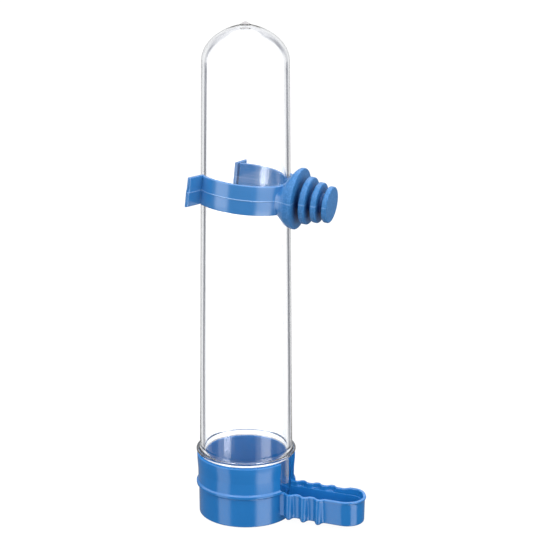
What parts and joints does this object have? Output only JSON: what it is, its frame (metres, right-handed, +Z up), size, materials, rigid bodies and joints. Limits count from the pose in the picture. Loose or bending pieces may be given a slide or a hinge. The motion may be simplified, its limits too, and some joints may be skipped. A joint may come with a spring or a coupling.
{
  "type": "tube fount",
  "caption": "Domed clear bottle seated in a flanged cup with a ribbed drinking trough, held to cage wires by a sprung ring clip with a barbed plug.",
  "frame": {"origin": "centre of the cup's flat underside, on the bottle's axis", "axes": "+Z up along the bottle, +X along the drinking trough, +Y completes a right-handed frame"},
  "size_m": [0.0498, 0.033, 0.139],
  "materials": {
    "clear_plastic": "clear polished",
    "blue_plastic": "glossy as moulded",
    "blue_clip_plastic": "semi-gloss as moulded"
  },
  "bodies": {
    "base": {"trough_base": "blue_plastic"},
    "tube": {"fount_tube": "clear_plastic"},
    "clip": {"cage_clip": "blue_clip_plastic"}
  },
  "joints": [
    {"name": "tube_lift", "type": "slide", "parent": "base", "child": "tube", "axis": [0, 0, 1], "range_m": [0, 0.02]},
    {"name": "clip_slide", "type": "slide", "parent": "tube", "child": "clip", "axis": [0, 0, 1], "range_m": [-0.01, 0.026]}
  ]
}
